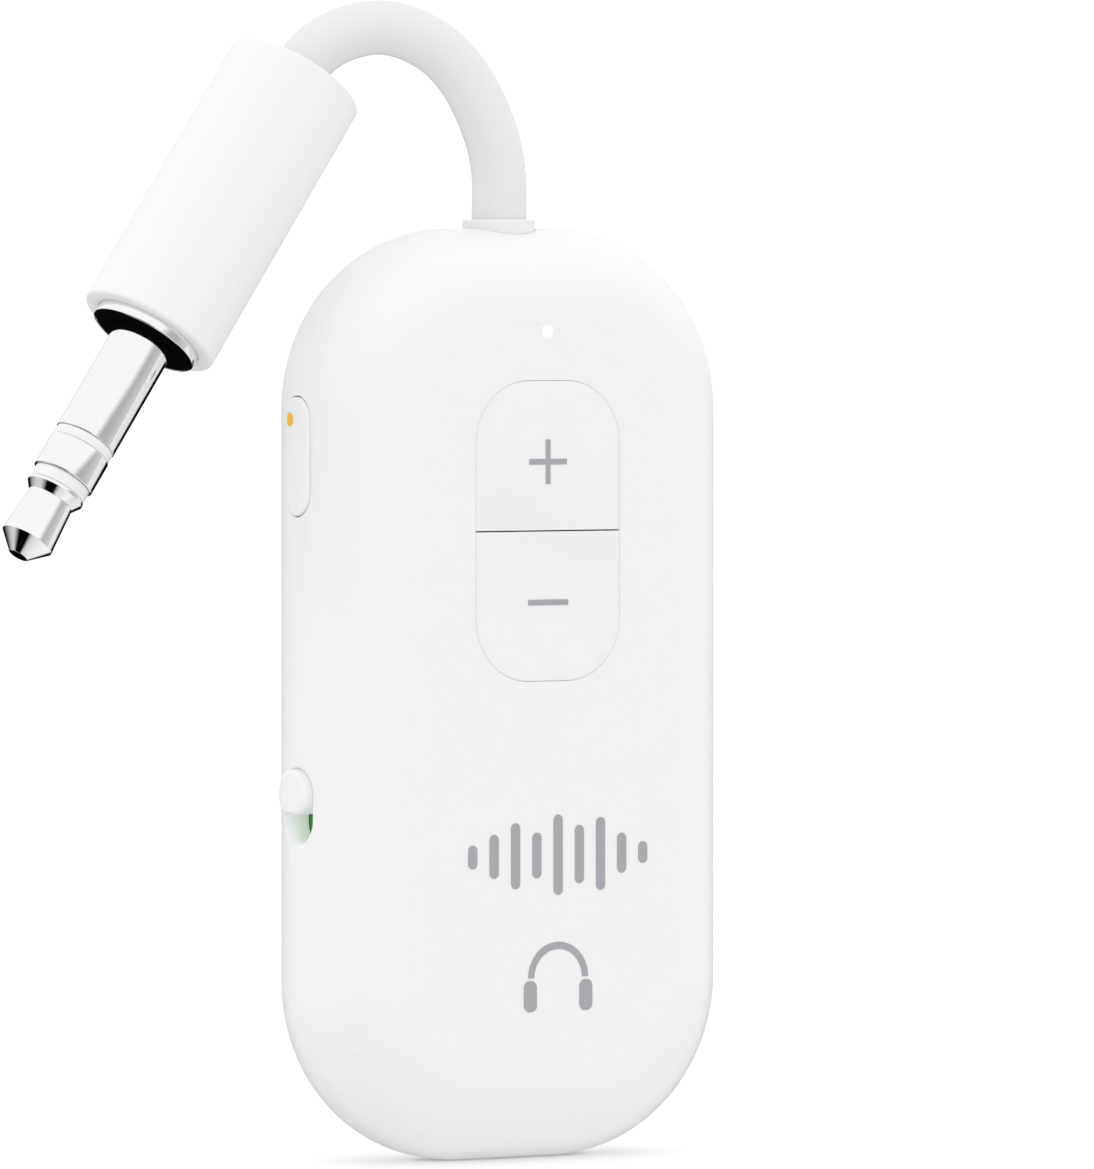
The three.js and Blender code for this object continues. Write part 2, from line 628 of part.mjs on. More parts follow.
function plugOvermold() {
  const { radius, length, edge, cordBoreDepth, chamberFrom } = HANDLE;
  const slope = edge * (1 - Math.SQRT1_2);
  const seat = length - COLLAR.seat;
  return turned([
    [0, cordBoreDepth], [GROMMET.boreRadius, cordBoreDepth], [GROMMET.boreRadius, 0],
    [radius - edge, 0], [radius - slope, slope], [radius, edge],
    [radius, length - edge], [radius - slope, length - slope], [radius - edge, length],
    [COLLAR.outer + GAP, length], [COLLAR.outer + GAP, seat], [COLLAR.inner, seat],
    [COLLAR.inner, chamberFrom], [0, chamberFrom],
  ]);
}

const collarStart = HANDLE.length - COLLAR.seat + GAP;
const faceDisc = pipe(FACE_DISC.bore, COLLAR.inner - GAP, collarFace - FACE_DISC.thickness, collarFace);

addPiece('plug_overmold', plugOvermold(), WHITE_ABS, plug);
addPiece('plug_collar', pipe(COLLAR.inner, COLLAR.outer, collarStart, collarFace), CHROME, plug);
addPiece('plug_face_disc', faceDisc, BLACK_PLASTIC, plug);

// Nested from the outside in: sleeve, insulator, ring, insulator, and the tip on its rod.
// Each pole's tail ends further inside the handle than the one round it.
const NEST = { sleeve: [1.42, 1.75], rear: [1.14, 1.36], ring: [0.8, 1.08], front: [0.5, 0.74], rod: 0.42 };
const TAIL = { sleeve: 13.4, rear: 12.8, ring: 12.2, front: 11.6, rod: 11 };
const HEAD = { ring: 1.75, rearInsulator: 1.68, frontInsulator: 1.6 }; // radii where each pole shows
const SLEEVE_FLANGE = { radius: 2.5, from: 14, to: 15 };
const TIP = { lip: 1.65, lipEnd: 0.15, neck: 1.3, neckAt: 0.66, bulge: 1.5, bulgeAt: 3.26, end: 0.55 };

const along = (distance) => collarFace + distance;

function sleeveContact() {
  const flange = pipe(NEST.sleeve[0], SLEEVE_FLANGE.radius, SLEEVE_FLANGE.from, SLEEVE_FLANGE.to);
  return pipe(...NEST.sleeve, TAIL.sleeve, along(POLE.sleeveEnd)).add(flange);
}

// A pole or insulator that is a narrow tube up to its wider head.
function headedTube([bore, radius], tail, headRadius, headFrom, headTo) {
  return turned([
    [bore, tail], [radius, tail], [radius, along(headFrom)], [headRadius, along(headFrom)],
    [headRadius, along(headTo)], [bore, along(headTo)], [bore, tail],
  ]);
}

function tipContact() {
  const [start, end] = [along(POLE.tipStart), along(POLE.length)];
  return turned([
    [0, TAIL.rod], [NEST.rod, TAIL.rod], [NEST.rod, start], [TIP.lip, start],
    [TIP.lip, start + TIP.lipEnd], [TIP.neck, start + TIP.neckAt], [TIP.bulge, start + TIP.bulgeAt],
    [TIP.end, end], [0, end],
  ]);
}

const { sleeveEnd, ringStart, ringEnd, tipStart } = POLE;
const ringContact = headedTube(NEST.ring, TAIL.ring, HEAD.ring, ringStart, ringEnd);
const rearInsulator = headedTube(
  NEST.rear, TAIL.rear, HEAD.rearInsulator, sleeveEnd + POLE_GAP, ringStart - POLE_GAP,
);
const frontInsulator = headedTube(
  NEST.front, TAIL.front, HEAD.frontInsulator, ringEnd + POLE_GAP, tipStart - POLE_GAP,
);

addPiece('plug_sleeve_contact', sleeveContact(), CHROME, plug);
addPiece('plug_rear_insulator', rearInsulator, POLE_WHITE, plug);
addPiece('plug_ring_contact', ringContact, CHROME, plug);
addPiece('plug_front_insulator', frontInsulator, POLE_WHITE, plug);
addPiece('plug_tip_contact', tipContact(), CHROME, plug);

export default receiver;
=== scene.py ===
"""Looks of a pocket wireless audio receiver: a white pill-shaped casing on end, with a short
captive cord that arcs over to a 3.5 mm stereo plug. Lengths are in mm unless a comment says
otherwise, and every mesh is made in metres in the frame's own place. The front face looks
towards -Y.
"""

import math

import bmesh
import bpy
from mathutils import Matrix, Vector


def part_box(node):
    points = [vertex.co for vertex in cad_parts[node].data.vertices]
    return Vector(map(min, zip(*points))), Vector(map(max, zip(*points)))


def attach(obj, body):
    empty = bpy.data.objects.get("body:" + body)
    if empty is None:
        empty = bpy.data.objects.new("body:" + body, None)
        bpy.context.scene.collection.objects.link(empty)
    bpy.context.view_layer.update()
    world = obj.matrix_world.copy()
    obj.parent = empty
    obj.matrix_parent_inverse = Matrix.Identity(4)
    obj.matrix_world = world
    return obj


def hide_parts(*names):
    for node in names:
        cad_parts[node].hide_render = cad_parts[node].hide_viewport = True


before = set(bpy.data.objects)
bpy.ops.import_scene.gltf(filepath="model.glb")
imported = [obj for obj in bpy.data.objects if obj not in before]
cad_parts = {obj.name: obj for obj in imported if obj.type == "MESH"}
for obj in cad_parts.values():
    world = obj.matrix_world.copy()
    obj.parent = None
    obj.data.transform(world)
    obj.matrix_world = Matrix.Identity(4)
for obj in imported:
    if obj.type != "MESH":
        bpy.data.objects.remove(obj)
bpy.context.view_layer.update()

MM = 0.001


def span(node):
    """The lowest and highest corner of a node of the frame, in mm."""
    low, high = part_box(node)
    return low / MM, high / MM


# ---------------------------------------------------------------- driving dimensions

shell_low, shell_high = span("front_shell")
cover_high = span("back_cover")[1]
grommet_low, grommet_high = span("cord_grommet")
lamp_low, lamp_high = span("front_light_pipe")
amber_low, amber_high = span("side_button_light_pipe")
knob_low, knob_high = span("slide_switch_knob")
label_low, label_high = span("slide_switch_label")
socket_low, socket_high = span("usb_receptacle_shell")
tongue_low, tongue_high = span("usb_receptacle_insulator")

HALF_WIDTH = shell_high.x
HEIGHT = shell_high.z
FRONT = shell_low.y
BACK = cover_high.y
CORNER = 9.85  # radius of the casing's outline
EDGE = 4.7  # radius of the rounding between the front or back face and the sides
BAND = BACK - EDGE  # half the depth of the straight band round the sides
WALL = 1.1
SEAM = shell_high.y
SEAM_GAP = 0.08
SIDE_STEP = 2.6  # between the points along the casing's straight sides
LID_RIM = {"inset": 2.25, "wall": 0.8, "start": 2.6, "floor": 4.0}
CAVITY_INSET = 2.1

KEY = {"half": 4.65, "low": 26.3, "high": 42.7, "corner": 3.4, "split": 34.5}
KEY_GAP = 0.018  # above and below the pair of keys
KEY_SIDE_GAP = 0.01
KEY_DIVIDE = 0.036  # half the gap between the two keys
BUTTON = {"half": 1.25, "low": 35.3, "high": 41.9, "proud": 0.15}
SLOT = {"half": 1.4, "low": 17.45, "high": 21.7}
KNOB = {"half": 1.37, "length": 2.45, "corner": 1.0, "proud": 0.5}
SLOT_FLOOR = 1.5  # depth of the green film under the casing's surface
SOCKET_MARGIN = 0.28
LAMP_RADIUS = 0.36
RIM = {"key": 0.02, "lamp": 0.02, "button": 0.02, "slot": 0.05, "socket": 0.12}  # easing radii
FRONT_CUT = WALL + 0.6  # how far the cutters of the openings go in
SIDE_CUT = 2.2
CORD_RADIUS = 1.5
CORD_HOLE = 2.03  # radius of the hole in the casing's top
GROMMET_RADIUS = 2.0
SHAFT = 1.75  # radius of the plug's contacts

# The plug's handle is a cylinder from START along AXIS, and the collar's face is at FACE.
START = Vector((-10.97, 3.43, 59.2))
AXIS = Vector((-0.5663, -0.0143, -0.8243)).normalized()
HANDLE = {"radius": 3.9, "length": 16.8, "edge": 0.18}
COLLAR = {"radius": 3.05, "wall": 0.12, "proud": 0.55}
FACE = HANDLE["length"] + COLLAR["proud"]
PLUG_TURN = Vector((0, 0, 1)).rotation_difference(AXIS)
PLUG_PLACE = Matrix.Translation(START) @ PLUG_TURN.to_matrix().to_4x4()

# Where the cord runs, in metres, from its cut end inside the casing to the bore of the handle.
CORD_ROUTE = [
    (0, 0, 0.046), (0, 0, 0.048), (0, 0, 0.050), (0, 0, 0.052), (0, 0, 0.0538),
    (-0.0003, 0.0001, 0.0557), (-0.00112, 0.00036, 0.0579), (-0.00225, 0.0007, 0.05975),
    (-0.0039, 0.00122, 0.0612), (-0.0062, 0.00194, 0.06197), (-0.0085, 0.00262, 0.06155),
    (-0.00995, 0.00312, 0.0606), (-0.01097, 0.00343, 0.0592), (-0.01216, 0.0034, 0.05747),
    (-0.0138, 0.00336, 0.05508), (-0.0155, 0.00332, 0.05261),
]


# ---------------------------------------------------------------- camera

HEADING = math.radians(32.749)  # clockwise from +Y, seen from above
PITCH = math.radians(-1.544)


def add_camera():
    camera = bpy.data.objects.new("camera", bpy.data.cameras.new("camera"))
    camera.data.lens = 338.8
    camera.data.sensor_width = 36
    camera.data.clip_start = 0.05
    camera.location = (-0.3245, -0.5094, 0.04774)
    forward = Vector((
        math.sin(HEADING) * math.cos(PITCH), math.cos(HEADING) * math.cos(PITCH), math.sin(PITCH),
    ))
    camera.rotation_euler = forward.to_track_quat("-Z", "Y").to_euler()
    bpy.context.scene.collection.objects.link(camera)
    bpy.context.scene.camera = camera


add_camera()


# ---------------------------------------------------------------- outlines and profiles

def rounded_outline(left, right, low, high, radii, grow, steps):
    """The points of a rectangle with rounded corners, grown on all sides. The radii go
    anticlockwise from the corner at right and high."""
    corners = [(1, 1), (-1, 1), (-1, -1), (1, -1)]
    points = []
    for number, (su, sv) in enumerate(corners):
        radius = max(radii[number] + grow, 0.002)
        u = (right if su > 0 else left) + su * (grow - radius)
        v = (high if sv > 0 else low) + sv * (grow - radius)
        for i in range(steps + 1):
            angle = math.radians(90 * (number + i / steps))
            points.append((u + radius * math.cos(angle), v + radius * math.sin(angle)))
    return points


EASING_STEPS = 5


def eased(corners):
    """The path through corners (u, v, radius), with an arc of that radius at each inner corner."""
    path = [corners[0][:2]]
    for before, corner, after in zip(corners, corners[1:], corners[2:]):
        point = Vector(corner[:2])
        to_before = (Vector(before[:2]) - point).normalized()
        to_after = (Vector(after[:2]) - point).normalized()
        half = to_before.angle(to_after) / 2
        radius = corner[2]
        if radius <= 0 or half > math.radians(89.5):
            path.append(tuple(point))
            continue
        centre = point + (to_before + to_after).normalized() * radius / math.sin(half)
        start = point + to_before * radius / math.tan(half) - centre
        end = point + to_after * radius / math.tan(half) - centre
        turn = start.angle(end)
        for i in range(EASING_STEPS + 1):
            share = i / EASING_STEPS
            a = math.sin((1 - share) * turn) / math.sin(turn)
            b = math.sin(share * turn) / math.sin(turn)
            path.append(tuple(centre + start * a + end * b))
    path.append(corners[-1][:2])
    return path


def quarter_turn(steps):
    return [math.pi / 2 * i / steps for i in range(steps + 1)]


def rim_cut(through, radius):
    """The profile (grow, depth) of a cutter that leaves a rounded rim of that radius. It goes in
    as deep as through, and starts 1 mm outside the surface."""
    turns = quarter_turn(4)
    arc = [(radius * (1 - math.cos(t)), radius * (1 - math.sin(t))) for t in turns]
    return [(0, through), *arc, (radius, -1.0)]


def cap_profile(back, radius, inward, proud=0.0, steps=5):
    """The profile (grow, depth) of a cap from its back to its eased face, then in over the face."""
    turns = quarter_turn(steps)
    arc = [(radius * (math.cos(t) - 1), radius * (1 - math.sin(t)) - proud) for t in turns]
    return [(0, back), *arc, *[(-radius - step, -proud) for step in inward]]


def edge_inset(y):
    """How far the rounding has drawn the outline in at depth y."""
    past = abs(y) - BAND
    return 0.0 if past <= 0 else EDGE - math.sqrt(max(EDGE * EDGE - past * past, 0))


def side_reach(y, z):
    """How far the casing's side surface is from the middle plane, at depth y and height z."""
    rise = max(0, z - (HEIGHT - CORNER), CORNER - z)
    radius = CORNER - edge_inset(y)
    return HALF_WIDTH - CORNER + math.sqrt(max(radius * radius - rise * rise, 0))


def case_outline(inset):
    """The casing's outline drawn in by inset, with points along its straight sides too."""
    corners = rounded_outline(-HALF_WIDTH, HALF_WIDTH, 0, HEIGHT, [CORNER] * 4, -inset, steps=40)
    points = []
    for a, b in zip(corners, corners[1:] + corners[:1]):
        parts = max(round(math.dist(a, b) / SIDE_STEP), 1)
        points += [tuple(Vector(a).lerp(Vector(b), i / parts)) for i in range(parts)]
    return points


def side_outline(opening, grow, radius=None, bottom=None):
    """An outline in Y and Z, with round ends unless it is given the radii of its corners."""
    top = opening["half"] if radius is None else radius
    low = top if bottom is None else bottom
    return rounded_outline(
        -opening["half"], opening["half"], opening["low"], opening["high"], [top, top, low, low],
        grow, steps=14,
    )


def key_outline(grow):
    return rounded_outline(
        -KEY["half"], KEY["half"], KEY["low"], KEY["high"], [KEY["corner"]] * 4, grow, 16,
    )


def socket_outline(grow):
    half = (socket_high.y - socket_low.y) / 2
    return rounded_outline(
        socket_low.y, socket_high.y, socket_low.z, socket_high.z, [half - 0.01] * 4, grow, 14,
    )


def disc_outline(u, v, radius, grow):
    ends = [radius - 0.001] * 4
    return rounded_outline(u - radius, u + radius, v - radius, v + radius, ends, grow, 10)


def lamp_outline(grow):
    return disc_outline(0, (lamp_low.z + lamp_high.z) / 2, LAMP_RADIUS, grow)


def front_loop(outline, depth):
    """An outline in X and Z, at a depth under the front face."""
    return [(x, FRONT + depth, z) for x, z in outline]


def side_loop(outline, depth, side):
    """An outline in Y and Z, laid on the side surface and pushed in by depth. side is -1 or 1."""
    return [(side * (side_reach(y, z) - depth), y, z) for y, z in outline]


# ---------------------------------------------------------------- meshes

def new_object(name, mesh):
    obj = bpy.data.objects.new(name, mesh)
    bpy.context.scene.collection.objects.link(obj)
    return obj


def loft(name, loops, closed=False):
    """A closed mesh through loops of equal count, in mm, capped at both ends or made a ring."""
    count = len(loops[0])
    vertices = [Vector(point) * MM for loop in loops for point in loop]
    last = len(loops) if closed else len(loops) - 1
    faces = []
    for a in range(last):
        b = (a + 1) % len(loops)
        for i in range(count):
            j = (i + 1) % count
            faces.append((a * count + i, a * count + j, b * count + j, b * count + i))
    if not closed:
        faces.append(tuple(range(count)))
        faces.append(tuple((len(loops) - 1) * count + i for i in range(count)))
    mesh = bpy.data.meshes.new(name)
    mesh.from_pydata(vertices, [], faces)
    turn_faces_out(mesh)
    return new_object(name, mesh)


def turn_faces_out(mesh):
    """Merges the points that coincide and turns every face outwards."""
    form = bmesh.new()
    form.from_mesh(mesh)
    bmesh.ops.remove_doubles(form, verts=form.verts, dist=1e-9)
    bmesh.ops.recalc_face_normals(form, faces=form.faces)
    form.to_mesh(mesh)
    form.free()


def turned(name, profile, place=None, closed=True, sides=96):
    """A profile of (radius, height) turned about the Z axis of place."""
    place = place or Matrix.Identity(4)
    loops = []
    for radius, height in profile:
        loops.append([
            place @ Vector((radius * math.cos(angle), radius * math.sin(angle), height))
            for angle in (math.tau * i / sides for i in range(sides))
        ])
    return loft(name, loops, closed)


def baked(obj):
    """Applies the object's modifiers to its mesh."""
    depsgraph = bpy.context.evaluated_depsgraph_get()
    depsgraph.update()
    old = obj.data
    obj.data = bpy.data.meshes.new_from_object(obj.evaluated_get(depsgraph), depsgraph=depsgraph)
    obj.modifiers.clear()
    bpy.data.meshes.remove(old)
    return obj


def combined(obj, tool, operation):
    """Joins or cuts obj with tool, which is used up."""
    modifier = obj.modifiers.new("tool", "BOOLEAN")
    modifier.object = tool
    modifier.operation = operation
    modifier.solver = "EXACT"
    baked(obj)
    bpy.data.objects.remove(tool)
    return obj


def joined(name, pieces):
    """Several meshes as one object."""
    form = bmesh.new()
    for piece in pieces:
        form.from_mesh(piece.data)
        bpy.data.objects.remove(piece)
    mesh = bpy.data.meshes.new(name)
    form.to_mesh(mesh)
    form.free()
    return new_object(name, mesh)


def smoothed(obj, angle=32):
    """Shades obj smooth, with creases past the angle and large faces kept flat."""
    obj.data.shade_smooth()
    obj.data.set_sharp_from_angle(angle=math.radians(angle))
    modifier = obj.modifiers.new("normals", "WEIGHTED_NORMAL")
    modifier.keep_sharp = True
    modifier.mode = "FACE_AREA"
    return baked(obj)


def finished(obj, material, body, slot, *nodes):
    """Gives a piece its material and body, and hides the CAD nodes that it stands for. The slot is
    not used.
    """
    obj.data.materials.clear()
    obj.data.materials.append(material)
    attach(obj, body)
    if nodes:
        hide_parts(*nodes)
    return obj


# ---------------------------------------------------------------- materials

def grey(value):
    return (value, value, value, 1)


def add_node(tree, kind, links=(), **values):
    """A node of that kind. values set its inputs by name, and links feed its inputs."""
    node = tree.nodes.new(kind)
    for name, value in values.items():
        if name in node.inputs:
            node.inputs[name].default_value = value
        else:
            setattr(node, name, value)
    for name, source in dict(links).items():
        tree.links.new(source, node.inputs[name])
    return node


def noise_at(tree, vector, scale, detail=3.0):
    return add_node(
        tree, "ShaderNodeTexNoise", {"Vector": vector}, Scale=scale, Detail=detail, Roughness=0.55,
    ).outputs["Fac"]


def ranged(tree, value, low, high, from_low=0.3, from_high=0.7):
    """A value that runs from low to high as its source runs between two limits."""
    node = add_node(tree, "ShaderNodeMapRange", {"Value": value})
    node.inputs["From Min"].default_value = from_low
    node.inputs["From Max"].default_value = from_high
    node.inputs["To Min"].default_value = low
    node.inputs["To Max"].default_value = high
    return node.outputs["Result"]


def mixed(tree, factor, first, second):
    """A colour between two others, each a colour or the output of a node."""
    node = tree.nodes.new("ShaderNodeMix")
    node.data_type = "RGBA"
    tree.links.new(factor, node.inputs["Factor"])
    for socket, colour in (("A", first), ("B", second)):
        slot = next(s for s in node.inputs if s.name == socket and s.type == "RGBA")
        if isinstance(colour, tuple):
            slot.default_value = colour
        else:
            tree.links.new(colour, slot)
    return next(s for s in node.outputs if s.type == "RGBA")


def shaded(colour, factor):
    return tuple(min(channel * factor, 1) for channel in colour[:3]) + (1,)


MOTTLE_SCALE = 220  # per metre, like SMUDGE_SCALE
SMUDGE_SCALE = 900


def surface(
    name, colour, roughness, grain, relief, mottle=0.012, wear=0.03, stretch=None, **fixed,
):
    """A material with a fine grain in its relief, uneven gloss, faint mottling and rubbed edges.

    grain is the grain's frequency per metre and relief its depth in metres. stretch is the
    rotation and scale of the texture space. fixed are constants for the shader's own sockets.
    """
    material = bpy.data.materials.new(name)
    material.use_nodes = True
    tree = material.node_tree
    shader = tree.nodes["Principled BSDF"]
    for socket, value in fixed.items():
        shader.inputs[socket.replace("_", " ")].default_value = value
    vector = tree.nodes.new("ShaderNodeTexCoord").outputs["Object"]
    if stretch:
        mapping = add_node(tree, "ShaderNodeMapping", {"Vector": vector})
        mapping.inputs["Rotation"].default_value = stretch[0]
        mapping.inputs["Scale"].default_value = stretch[1]
        fine = noise_at(tree, mapping.outputs["Vector"], grain)
    else:
        fine = noise_at(tree, vector, grain)
    broad = noise_at(tree, vector, MOTTLE_SCALE)
    smudge = noise_at(tree, vector, SMUDGE_SCALE, detail=5)
    pointiness = tree.nodes.new("ShaderNodeNewGeometry").outputs["Pointiness"]
    rubbed = ranged(tree, pointiness, 0, 1, 0.56, 0.7)
    ground = mixed(tree, broad, shaded(colour, 1 - mottle), shaded(colour, 1 + mottle))
    worn = mixed(tree, rubbed, ground, shaded(colour, 1 - wear))
    tree.links.new(worn, shader.inputs["Base Color"])
    gloss = ranged(tree, smudge, 0.92 * roughness, 1.08 * roughness)
    tree.links.new(gloss, shader.inputs["Roughness"])
    bump = add_node(tree, "ShaderNodeBump", {"Height": fine}, Strength=1.0, Distance=relief)
    tree.links.new(bump.outputs["Normal"], shader.inputs["Normal"])
    return material


UM = 1e-6
plug_turn_back = tuple(PLUG_TURN.inverted().to_euler())
LATHE_MARKS = (plug_turn_back, (1, 1, 30))

MOULDED = {
    "mottle": 0.002, "Specular_IOR_Level": 0.35, "Subsurface_Weight": 0.25,
    "Subsurface_Radius": (1, 1, 1), "Subsurface_Scale": 0.0002,
}
WHITE_SHELL = surface("white_shell", grey(0.845), 0.38, 9000, 0.06 * UM, **MOULDED)
WHITE_KEY = surface("white_key", grey(0.845), 0.36, 9000, 0.06 * UM, **MOULDED)
# The slot's walls: white plastic with a faint green-tinted glow. The glow is painted light that
# brightens the deep recess and stands in for light bounced off the green film.
GLOWING_SLOT_WALL = surface(
    "slot_wall_painted_glow", grey(0.87), 0.38, 9000, 0.06 * UM, mottle=0.002,
    Emission_Color=(0.88, 1, 0.88, 1), Emission_Strength=0.2,
)
SOFT_WHITE = surface("soft_white", grey(0.80), 0.5, 6000, 1 * UM, mottle=0.008)
CORD_WHITE = surface(
    "cord_white", grey(0.75), 0.48, 5000, 1.2 * UM, mottle=0.008, Sheen_Weight=0.05,
)
HANDLE_WHITE = surface(
    "handle_white", grey(0.832), 0.6, 8000, 0.1 * UM, mottle=0.004, Specular_IOR_Level=0.15,
)
LAMP_WHITE = surface(
    "lamp_window", grey(0.95), 0.2, 7000, 0.2 * UM, wear=0,
    Emission_Color=(1, 1, 1, 1), Emission_Strength=0.35, Subsurface_Weight=0.1,
)
AMBER = surface(
    "amber_window", (0.84, 0.48, 0.025, 1), 0.25, 7000, 0.2 * UM, mottle=0.05, wear=0,
    Emission_Color=(1, 0.5, 0.03, 1), Emission_Strength=0.05,
)
GREEN = surface("green_label", (0.012, 0.27, 0.02, 1), 0.45, 12000, 0.8 * UM, mottle=0.06, wear=0)
INK = surface("grey_ink", (0.372, 0.362, 0.40, 1), 0.5, 16000, 0.8 * UM, mottle=0.03, wear=0)
CHROME = surface(
    "plug_chrome", grey(0.93), 0.055, 2600, 0.05 * UM, mottle=0.02, wear=0.02,
    stretch=LATHE_MARKS, Metallic=1.0,
)
STEEL = surface("switch_metal", grey(0.6), 0.28, 5000, 0.6 * UM, mottle=0.05, Metallic=1.0)
GOLD = surface("gold_contact", (0.83, 0.61, 0.27, 1), 0.22, 6000, 0.3 * UM, Metallic=1.0)
BLACK_PLASTIC = surface("black_plastic", grey(0.006), 0.35, 9000, 1 * UM, mottle=0.1)
DULL_BLACK = surface("dull_black", grey(0.003), 0.8, 9000, 1 * UM, mottle=0.1, Specular_IOR_Level=0)
CHIP_BLACK = surface("chip_black", grey(0.02), 0.55, 15000, 2 * UM, mottle=0.1)
POLE_WHITE = surface("pole_white", grey(0.82), 0.3, 7000, 0.1 * UM, mottle=0.006)
CERAMIC = surface("ceramic", (0.52, 0.42, 0.29, 1), 0.5, 9000, 1 * UM, mottle=0.08)
BOARD_GREEN = surface("board_green", (0.012, 0.09, 0.04, 1), 0.35, 2500, 3 * UM, mottle=0.12)
FOIL = surface("battery_foil", grey(0.62), 0.32, 1500, 4 * UM, mottle=0.05, Metallic=0.8)
FOAM = surface("foam", grey(0.03), 0.95, 4000, 30 * UM, mottle=0.3)
RED_WIRE = surface("red_wire", (0.42, 0.02, 0.025, 1), 0.5, 6000, 1 * UM)
BLACK_WIRE = surface("black_wire", grey(0.015), 0.5, 6000, 1 * UM)
COPPER = surface("copper_wire", (0.72, 0.36, 0.18, 1), 0.4, 6000, 1 * UM, Metallic=0.8)

# The nodes of the frame that stay as they are, under the casing.
INNER_LOOKS = {
    STEEL: ["volume_up_switch", "volume_down_switch", "clock_crystal", "slide_switch_housing"],
    CHIP_BLACK: ["bluetooth_chip", "audio_amplifier_chip", "charger_chip"],
    BLACK_PLASTIC: ["volume_up_plunger", "volume_down_plunger", "side_switch",
                    "side_switch_plunger", "slide_switch_lever"],
    CERAMIC: ["chip_antenna", "capacitor_1", "capacitor_2", "capacitor_3", "capacitor_4"],
    LAMP_WHITE: ["status_led"],
    AMBER: ["side_led"],
    BOARD_GREEN: ["circuit_board"],
    FOIL: ["battery_cell"],
    FOAM: ["battery_foam_pad"],
    RED_WIRE: ["battery_lead_positive", "audio_lead_right"],
    BLACK_WIRE: ["battery_lead_negative"],
    COPPER: ["audio_lead_left", "audio_lead_ground"],
}
for look, names in INNER_LOOKS.items():
    for name in names:
        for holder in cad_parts[name].material_slots:
            holder.material = look


# ---------------------------------------------------------------- cord

def smooth_route(points, steps):
    """Points along a centripetal Catmull-Rom curve through the given ones."""
    knots = [Vector(point) for point in points]
    knots = [2 * knots[0] - knots[1], *knots, 2 * knots[-1] - knots[-2]]
    route = []
    for p0, p1, p2, p3 in zip(knots, knots[1:], knots[2:], knots[3:]):
        d0, d1, d2 = (math.sqrt((b - a).length) for a, b in ((p0, p1), (p1, p2), (p2, p3)))
        leave = ((p1 - p0) / d0 - (p2 - p0) / (d0 + d1) + (p2 - p1) / d1) * d1
        arrive = ((p2 - p1) / d1 - (p3 - p1) / (d1 + d2) + (p3 - p2) / d2) * d1
        for i in range(steps):
            t = i / steps
            route.append(
                (2 * t ** 3 - 3 * t ** 2 + 1) * p1 + (t ** 3 - 2 * t ** 2 + t) * leave
                + (3 * t ** 2 - 2 * t ** 3) * p2 + (t ** 3 - t ** 2) * arrive
            )
    route.append(knots[-2])
    return route


def add_cord():
    route = smooth_route(CORD_ROUTE, steps=14)
    curve = bpy.data.curves.new("audio_cord", "CURVE")
    curve.dimensions = "3D"
    curve.bevel_depth = CORD_RADIUS * MM
    curve.bevel_resolution = 14
    curve.use_fill_caps = True
    spline = curve.splines.new("POLY")
    spline.points.add(len(route) - 1)
    for place, point in zip(spline.points, route):
        place.co = (*point, 1)
    spline.use_smooth = True
    length = sum((b - a).length for a, b in zip(route, route[1:]))
    return new_object("audio_cord", curve), length


cord, cord_length = add_cord()
finished(cord, CORD_WHITE, "root", "cord_white", "cord")


# ---------------------------------------------------------------- plug

def plug_part(name, corners, closed=True):
    """A turned part of the plug. corners are (radius, distance along the plug, easing radius)."""
    return smoothed(turned(name, eased(corners), PLUG_PLACE, closed, sides=128), 40)


def add_plug():
    radius, length, edge = HANDLE["radius"], HANDLE["length"], HANDLE["edge"]
    bore = CORD_RADIUS + 0.05
    seat = COLLAR["radius"] + 0.01
    inner = COLLAR["radius"] - COLLAR["wall"]
    bored, hollowed = 8, 9.5  # the web between them has a hole for the cores
    handle = plug_part("plug_handle", [
        (bore, bored, 0), (bore, 0, 0.2), (radius, 0, edge), (radius, length / 2, 0),
        (radius, length, edge), (seat, length, 0.03), (seat, length - 1, 0),
        (inner, length - 1, 0), (inner, hollowed, 0), (1, hollowed, 0), (1, bored, 0),
        (bore, bored, 0),
    ])
    collar = plug_part("plug_collar_ring", [
        (inner, length - 0.9, 0), (COLLAR["radius"], length - 0.9, 0),
        (COLLAR["radius"], FACE, 0.05), (inner, FACE, 0.03), (inner, length - 0.9, 0),
    ])
    disc = plug_part("plug_black_face", [
        (1.78, FACE - 1.45, 0), (inner - 0.01, FACE - 1.45, 0), (inner - 0.01, FACE, 0.02),
        (1.78, FACE - 0.02, 0.02), (1.78, FACE - 1.45, 0),
    ])
    finished(handle, HANDLE_WHITE, "root", "soft_white", "plug_overmold")
    finished(collar, CHROME, "root", "plug_chrome", "plug_collar")
    finished(disc, DULL_BLACK, "root", "black_plastic", "plug_face_disc")
    return [handle, collar, disc]


